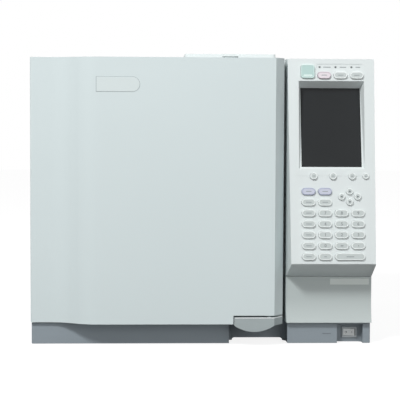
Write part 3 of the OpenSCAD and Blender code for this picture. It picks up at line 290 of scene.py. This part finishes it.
# ---- fan motor ----
# Cast aluminium motor, painted dark grey, on three posts behind the lagging.

motor_paint = finish("motor_paint", srgb(74, 78, 82), 0.5, mottle=0.05, grain=1100)
dress(motor_paint, "fan_motor")

# ---- capillary column ----
# Fused silica tube in an amber polyimide coating, wound on a cage of steel wire that hangs
# from the oven's ceiling.

amber = finish("column_coating", srgb(150, 84, 30), 0.24, mottle=0.12, patch=120, grain=2600, depth=0.00012,
               stretch=(0.02, 1, 0.02), coat=0.3)
wire = finish("bright_wire", srgb(196, 197, 196), 0.25, metal=1.0, mottle=0.04)
column = remake("capillary_column", "capillary", "cabinet")
for m in (amber, wire):
    column.data.materials.append(m)
coil_x, coil_z = -0.01815, 0.215
coil_outside = 0.07663                    # the cage's wire starts here
ends_x, ends_y = (0.0045, 0.0505), -0.0734
for f in column.data.polygons:
    c = f.center
    away = math.hypot(c.x - coil_x, c.z - coil_z)
    straight_end = (away > 0.0815 and abs(c.y - ends_y) < 0.0011
                    and min(abs(c.x - x) for x in ends_x) < 0.0011)
    f.material_index = 0 if away < coil_outside or straight_end else 1

# ---- injector, detector and gas block ----
# Turned and milled steel: the injector with its septum nut, the detector's tower, and the
# pressure block with three unions through the back panel.

machined = finish("machined_steel", srgb(192, 192, 190), 0.3, metal=1.0, mottle=0.05, patch=50, grain=1500,
                  stretch=(1, 1, 6))
brass = finish("brass_fittings", srgb(196, 168, 104), 0.3, metal=1.0, mottle=0.06, patch=80, grain=1500)
dress(machined, "injector", "detector")
dress(brass, "flow_controller")

# ---- electronics: boards, power supply, mains inlet and switch body ----
# A green lacquered glass-fibre board with its packages, a folded steel power supply, and
# moulded black and grey parts where the mains comes in and at the switch.

lacquer = finish("board_green", srgb(38, 104, 72), 0.35, mottle=0.12, patch=160, grain=420, depth=0.00006)
black_part = finish("black_moulding", srgb(44, 46, 48), 0.45, grain=1300)
bezel_grey = finish("switch_bezel", srgb(176, 183, 186), 0.4, grain=1500)
boards = remake("electronics", "electronics_set", "cabinet", width=0.0003)


def board_part(lo, hi):
    size = hi - lo
    if hi.y < -0.17:
        return 3
    if size.x < 0.02 and size.z > 0.1:
        return 0
    return 2 if size.x > 0.08 else 1


paint_solids(boards, [lacquer, black_part, zinc, bezel_grey], board_part)
lamp_off = finish("lamp_lens", srgb(92, 100, 100), 0.2, mottle=0.02, coat=0.4)
key_boards = remake("key_board", "key_boards", "cabinet")
for m in (lacquer, lamp_off):
    key_boards.data.materials.append(m)
lean_up, lean_back = 0.99151, 0.13003     # the panel's face rises and leans back
face_y, face_z = -0.225, 0.431            # the face's top edge
lamp_foot = -0.0085                       # the lamps reach through the panel's skin from here
for f in key_boards.data.polygons:
    proud = lean_back * (f.center.z - face_z) - lean_up * (f.center.y - face_y)
    f.material_index = 1 if proud > lamp_foot else 0

# ---- plinth ----
# One grey structural-foam moulding with recesses for the fingers and for the switch. Four
# rubber feet are pressed into it from below.

grey_plastic = finish("plinth_plastic", srgb(142, 152, 159), 0.5, mottle=0.015, patch=24, grain=1500,
                      depth=0.00004)
rubber = finish("foot_rubber", srgb(40, 41, 42), 0.85, mottle=0.1, grain=700)
plinth = remake("base_skirt", "plinth", "cabinet", width=0.0006)
paint_solids(plinth, [grey_plastic, rubber], lambda lo, hi: 1 if hi.z < 0.007 else 0)


def settle(o):
    """The piece's place goes into its mesh, with its object at the origin."""
    clear()
    o.select_set(True)
    bpy.context.view_layer.objects.active = o
    bpy.ops.object.transform_apply(location=True, rotation=True, scale=True)
    return o


def block(name, lo, hi, material, width=0.0, steps=2):
    """A block between two corners, its edges rounded."""
    clear()
    bpy.ops.mesh.primitive_cube_add(size=1)
    o = bpy.context.object
    o.name = name
    o.location = [(a + b) / 2 for a, b in zip(lo, hi)]
    o.scale = [b - a for a, b in zip(lo, hi)]
    settle(o)
    if width:
        round_off(o, width, 30, steps)
        smooth(o)
    o.data.materials.append(material)
    return o


mark = block("plinth_mark", (0.1835, -0.22535, 0.0150), (0.1965, -0.2248, 0.0163),
             finish("plinth_mark_print", srgb(118, 126, 132), 0.5), width=0.0002)
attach(mark, "cabinet")

# ---- sheet-metal covers and top deck ----
# Folded steel with a fine textured paint, fixed by pan-head screws along their edges.

paint = finish("cover_paint", srgb(210, 216, 216), 0.55, mottle=0.01, patch=8, grain=1100, depth=0.00006)
covers = remake("cabinet_covers", "covers", "cabinet", width=0.0004)
covers.data.materials.append(paint)

screw_steel = finish("screw_head", srgb(170, 172, 172), 0.3, metal=1.0, mottle=0.05, patch=200)
clear()
bpy.ops.mesh.primitive_cylinder_add(vertices=24, radius=0.0036, depth=0.0022, location=(0, 0, 0.0005))
screw = bpy.context.object
screw.name = "screw_pattern"
round_off(screw, 0.0009, 40, 3)
bpy.ops.object.mode_set(mode="EDIT")
bpy.ops.mesh.select_all(action="DESELECT")
bpy.ops.object.mode_set(mode="OBJECT")
crown = max(screw.data.polygons, key=lambda f: f.normal.z * f.area)
crown.select = True
bpy.ops.object.mode_set(mode="EDIT")
bpy.ops.mesh.inset(thickness=0.0012)
bpy.ops.mesh.inset(thickness=0.0002, depth=-0.0007)
bpy.ops.object.mode_set(mode="OBJECT")
smooth(screw, 40)
screw.data.materials.append(screw_steel)


def set_screw(name, at, way, body="cabinet"):
    """One more screw, its head turned the given way."""
    o = bpy.data.objects.new(name, screw.data.copy())
    bpy.context.collection.objects.link(o)
    o.rotation_euler = Vector(way).to_track_quat("Z", "Y").to_euler()
    o.location = at
    settle(o)
    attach(o, body)


for i, (y, z) in enumerate([(-0.15, 0.045), (0.03, 0.045), (0.215, 0.045), (-0.15, 0.415), (0.03, 0.415),
                            (0.215, 0.415)]):
    set_screw(f"screw_left_{i}", (-0.257, y, z), (-1, 0, 0))
    set_screw(f"screw_right_{i}", (0.257, y, z), (1, 0, 0))

# ---- back panel, duct and flap ----
# Zinc-plated sheet screwed to the covers' edges, with a bare rating place, and a folded duct
# closed by a flap on a pin.

dress(zinc, "rear_panel", "exhaust_flap")
for i, (x, z) in enumerate([(-0.248, 0.05), (-0.248, 0.24), (-0.248, 0.42), (0.248, 0.05), (0.248, 0.24),
                            (0.248, 0.42), (0.0, 0.42), (0.0, 0.05), (0.12, 0.42), (0.12, 0.05)]):
    set_screw(f"screw_back_{i}", (x, 0.247, z), (0, 1, 0))
label_film = finish("label_film", srgb(206, 209, 208), 0.35, mottle=0.01)
plate = block("rating_place", (0.03, 0.2468, 0.10), (0.105, 0.2474, 0.15), label_film, width=0.0002)
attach(plate, "cabinet")
clear()
bpy.data.objects.remove(screw)

# ---- door: moulded cover, steel inner pan, plug and gasket ----
# A thick white moulding over a steel pan whose plug fills the oven's mouth. The gasket is
# a braided glass-fibre cord held in the pan.

door_plastic = finish("door_plastic", srgb(210, 221, 222), 0.45, mottle=0.006, patch=5, grain=1500,
                      depth=0.00005)
door = remake("door_cover", "door_moulding", "door", width=0.0009)
door.data.materials.append(door_plastic)
braid = finish("gasket_braid", srgb(214, 210, 200), 0.9, mottle=0.1, patch=300, grain=900,
               depth=0.0004)
liner = remake("door_liner", "door_pan", "door", width=0.0005)


def pan_part(lo, hi):
    return 1 if hi.y - lo.y < 0.008 and hi.x - lo.x > 0.25 and hi.y > -0.195 else 0


paint_solids(liner, [stainless, braid], pan_part)



def pick(o, kind, rule):
    """Only the faces or edges that the rule names are selected, with the piece in edit mode."""
    clear()
    o.select_set(True)
    bpy.context.view_layer.objects.active = o
    bpy.ops.object.mode_set(mode="EDIT")
    bpy.ops.mesh.select_mode(type=kind)
    bpy.ops.mesh.select_all(action="DESELECT")
    bpy.ops.object.mode_set(mode="OBJECT")
    for part in (o.data.polygons if kind == "FACE" else o.data.edges):
        part.select = rule(part)
    bpy.ops.object.mode_set(mode="EDIT")


# Badge place: a thin bare plate with a round right end, let into the moulding. Round it lies a slightly
# larger darker band, painted shade of the seam where the plate meets the moulding.
badge_film = finish("badge_film", srgb(213, 223, 223), 0.32, mottle=0.004, patch=20, grain=1800,
                    depth=0.00002)
badge_shade_paint = finish("badge_seam_shade", srgb(158, 168, 172), 0.5)
shade_band = block("badge_seam_shade", (-0.1587, -0.25318, 0.3795), (-0.0937, -0.2528, 0.4022), badge_shade_paint)
badge = block("badge_plate", (-0.1580, -0.25345, 0.3801), (-0.0943, -0.2528, 0.4016), badge_film)
for o, reach in ((shade_band, 0.0112), (badge, 0.0106)):
    def right_corner(e):
        a, b = (o.data.vertices[i].co for i in e.vertices)
        return abs(a.y - b.y) > 0.0001 and a.x > -0.12

    pick(o, "EDGE", right_corner)
    bpy.ops.mesh.bevel(offset=reach, segments=14)
    bpy.ops.object.mode_set(mode="OBJECT")
    round_off(o, 0.00012, 40, 2)
    smooth(o)
    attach(o, "door")

# ---- door lever ----
# A grey moulding on a steel pin, its half-moon free for the fingers, with a white strip
# along its upper edge that is painted highlight: the light caught by the lever's rounded top edge.

lever_plastic = finish("lever_plastic", srgb(164, 174, 175), 0.42, mottle=0.008, patch=30, grain=1600,
                       depth=0.00004)
lever = remake("door_handle", "lever", "lever", width=0.0005)
lever.data.materials.append(lever_plastic)

# The white strip is a painted highlight, the bright line of light along the lever's top edge.
strip = block("lever_highlight_strip", (0.0479, -0.25315, 0.0428), (0.1075, -0.2519, 0.04415), None)
pick(strip, "FACE", lambda f: f.normal.x > 0.9)
bpy.ops.mesh.extrude_region_move(TRANSFORM_OT_translate={"value": (0.0136, 0.01845, 0)})
bpy.ops.object.mode_set(mode="OBJECT")
round_off(strip, 0.0003, 30, 3)
smooth(strip)
strip.data.materials.clear()
strip.data.materials.append(finish("lever_painted_highlight", srgb(240, 244, 245), 0.35, mottle=0.004))
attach(strip, "lever")

# ---- lower front cover ----
# A grey-white moulding, upright above and sweeping forward to the plinth, with a bare
# label place near its upper right corner.

cover_plastic = finish("cover_plastic", srgb(184, 193, 192), 0.5, mottle=0.008, patch=12, grain=1500,
                       depth=0.00004)
skirt = remake("lower_front_cover", "front_cover", "cabinet", width=0.0005)
skirt.data.materials.append(cover_plastic)
label = block("label_place", (0.1945, -0.22525, 0.0903), (0.2537, -0.2247, 0.0995),
              finish("label_place_film", srgb(216, 224, 221), 0.4, mottle=0.006), width=0.0002)
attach(label, "cabinet")

# ---- key panel ----
# One white moulding that leans back, with a sloping underside and a deep recess for the
# display. Its bevelled left side faces the door.

white_plastic = finish("panel_plastic", srgb(217, 224, 224), 0.46, mottle=0.006, patch=6, grain=1600,
                       depth=0.00004)
panel = remake("panel_housing", "panel", "cabinet", width=0.0006)
panel.data.materials.append(white_plastic)
face = Matrix(((1, 0, 0, 0), (0, lean_back, -lean_up, face_y), (0, lean_up, lean_back, face_z),
               (0, 0, 0, 1)))


def on_face(o, x, down, proud):
    """Lays a flat piece on the panel's face, at x and at a distance down from the top edge."""
    o.matrix_world = face @ Matrix.Translation((x, -down, proud)) @ o.matrix_world
    return settle(o)


ink = finish("grey_ink", srgb(146, 154, 156), 0.6)
dark_ink = finish("dark_ink", srgb(104, 111, 114), 0.6)


def bar(name, w, h, t, material):
    """A flat printed bar with round ends."""
    clear()
    bpy.ops.mesh.primitive_cube_add(size=1)
    o = bpy.context.object
    o.name = name
    o.scale = (w, h, t)
    settle(o)

    def upright(e):
        a, b = (o.data.vertices[i].co for i in e.vertices)
        return abs(a.z - b.z) > t / 2

    pick(o, "EDGE", upright)
    bpy.ops.mesh.bevel(offset=h * 0.49, segments=5)
    bpy.ops.object.mode_set(mode="OBJECT")
    o.data.materials.append(material)
    return o


# the printed bars beside the three lamps
for i, (x, w) in enumerate([(0.1862, 0.0115), (0.2103, 0.0098), (0.2330, 0.0075)]):
    o = on_face(bar(f"lamp_bar_{i}", w, 0.0013, 0.00012, ink), x, 0.0124, -0.00052)
    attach(o, "cabinet")

# ---- display ----
# A dark anti-glare glass in a thin black frame at the bottom of the recess.

dark_glass = finish("display_glass", srgb(27, 30, 32), 0.36, mottle=0.12, patch=9, grain=2400, depth=0.000006,
                    spread=0.04)
black_frame = finish("display_frame", srgb(28, 30, 31), 0.5)
for m in (dark_glass, black_frame):
    m.node_tree.nodes["Principled BSDF"].inputs["Specular IOR Level"].default_value = 0.22
screen = remake("display", "display_unit", "cabinet", width=0.0002)
for m in (dark_glass, black_frame):
    screen.data.materials.append(m)
glass_area = 0.005                        # only the glass has so large a front
for f in screen.data.polygons:
    f.material_index = 0 if f.area > glass_area and f.normal.y < -0.9 else 1

# ---- keys ----
# Each key is a moulded cap with a bevelled rim round a slightly sunk, greyer top, printed
# with a digit, an arrow or a plain bar.

KEY_COLOURS = {"key_start": ("green", (205, 226, 222), (180, 207, 203)),
               "key_stop": ("pink", (206, 196, 203), (224, 216, 221)),
               "key_heater": ("blue", (178, 184, 204), (197, 201, 216)),
               "key_column": ("blue", (178, 184, 204), (197, 201, 216))}
paints = {}


def key_paint(node):
    """The rim's and the top's materials of a key."""
    tone, rim, top = KEY_COLOURS.get(node, ("white", (232, 238, 237), (192, 200, 199)))
    if tone not in paints:
        paints[tone] = (finish(f"key_{tone}_rim", srgb(*rim), 0.4, mottle=0.006),
                        finish(f"key_{tone}_top", srgb(*top), 0.5, mottle=0.01))
    return paints[tone]


caps = {}
out = face.to_3x3() @ Vector((0, 0, 1))
for node in [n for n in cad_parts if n.startswith("key_") and n != "key_board"]:
    cap = remake(node, node + "_cap", node + "_body")
    for m in key_paint(node):
        cap.data.materials.append(m)
    reach = max(v.co.dot(out) for v in cap.data.vertices)
    pick(cap, "FACE", lambda f: f.normal.dot(out) > 0.999 and f.center.dot(out) > reach - 0.0001)
    bpy.ops.mesh.inset(thickness=0.0006)
    bpy.ops.mesh.inset(thickness=0.0003, depth=-0.00025)
    cap.active_material_index = 1
    bpy.ops.object.material_slot_assign()
    bpy.ops.object.mode_set(mode="OBJECT")
    smooth(cap)
    tops = [v.co for v in cap.data.vertices if v.co.dot(out) > reach - 0.0001]
    middle = sum(tops, Vector()) / len(tops)
    on_panel = face.inverted() @ middle
    caps[node] = (on_panel.x, -on_panel.y)


def legend(node, o, dx=0.0, down=0.0):
    """A print on a key's top, moving with the key."""
    x, s = caps[node]
    on_face(o, x + dx, s + down, 0.0028 - 0.00022)
    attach(o, node + "_body")


for digit in "0123456789":
    clear()
    bpy.ops.object.text_add()
    t = bpy.context.object
    t.name = f"digit_{digit}"
    t.data.body = digit
    t.data.size = 0.0062
    t.data.align_x = "CENTER"
    t.data.align_y = "CENTER"
    t.data.extrude = 0.00005
    t.data.materials.append(dark_ink)
    bpy.ops.object.convert(target="MESH")
    legend("key_" + digit, bpy.context.object)

for way, turn in (("up", 0), ("left", 90), ("down", 180), ("right", 270)):
    clear()
    bpy.ops.mesh.primitive_cylinder_add(vertices=3, radius=0.0021, depth=0.0001)
    o = bpy.context.object
    o.name = f"arrow_{way}"
    o.rotation_euler = (0, 0, math.radians(turn))
    o.data.materials.append(dark_ink)
    settle(o)
    legend("key_" + way, o)

for node, w, h in ([(n, 0.0085, 0.0011) for n in
                    ("key_system", "key_monitor", "key_gas", "key_program", "key_flow", "key_detector",
                     "key_signal", "key_option", "key_clear", "key_stop", "key_heater", "key_column")]
                   + [(n, 0.0042, 0.0011) for n in
                      ("key_function_1", "key_function_2", "key_function_3", "key_help", "key_delete",
                       "key_minus")]
                   + [("key_enter", 0.0115, 0.0012), ("key_point", 0.0013, 0.0013)]):
    print_ink = dark_ink if node in ("key_point", "key_minus") else ink
    legend(node, bar("bar_" + node[4:], w, h, 0.0001, print_ink))
band_film = finish("start_band_film", srgb(214, 232, 228), 0.4)
band = bar("start_band", 0.0135, 0.0032, 0.0001, band_film)
legend("key_start", band, down=0.0062)

# ---- power rocker ----
# A glossy two-sided rocker in the switch body, marked with a ring and a bar.

rocker_plastic = finish("rocker_plastic", srgb(236, 240, 240), 0.28, mottle=0.01, grain=1800)
rocker = remake("power_rocker", "rocker_cap", "rocker", width=0.0003)
rocker.data.materials.append(rocker_plastic)
mark_ink = finish("rocker_mark", srgb(74, 80, 84), 0.5, grain=2000)
pivot = (0.2265, -0.208, 0.0155)
rest_tilt = math.radians(-8)
half_slope = math.atan2(1.2, 8.0)         # each half slopes back toward the middle
mark_reach = 0.0045                       # from the pivot to each mark
mark_proud = 0.00408
for side in (-1, 1):
    clear()
    if side < 0:
        bpy.ops.mesh.primitive_torus_add(major_segments=40, minor_segments=8, major_radius=0.0014,
                                         minor_radius=0.00025)
        mark = bpy.context.object
        mark.name = "rocker_ring"
        mark.data.transform(Matrix.Scale(0.3, 4, (0, 0, 1)))
        smooth(mark)
    else:
        bpy.ops.mesh.primitive_cube_add(size=1)
        mark = bpy.context.object
        mark.name = "rocker_bar"
        mark.data.transform(Matrix.Diagonal((0.0005, 0.003, 0.0001, 1)))
    mark.data.materials.append(mark_ink)
    mark.data.transform(Matrix.Rotation(math.pi / 2, 4, "X"))
    mark.data.transform(Matrix.Rotation(side * -half_slope, 4, "Z"))
    mark.data.transform(Matrix.Translation((side * mark_reach, -mark_proud, 0)))
    mark.data.transform(Matrix.Rotation(rest_tilt, 4, "Z"))
    mark.data.transform(Matrix.Translation(pivot))
    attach(mark, "rocker")

# ---- lid over the ports ----
# A shallow white moulding hinged at its rear edge, with a slot for a finger in front and a
# thin wall behind the slot.

lid = remake("port_lid", "ports_lid", "lid", width=0.0006)
lid.data.materials.append(white_plastic)
slot_back = block("lid_grip_back", (0.0315, -0.1632, 0.4314), (0.0575, -0.1624, 0.4376), white_plastic)
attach(slot_back, "lid")
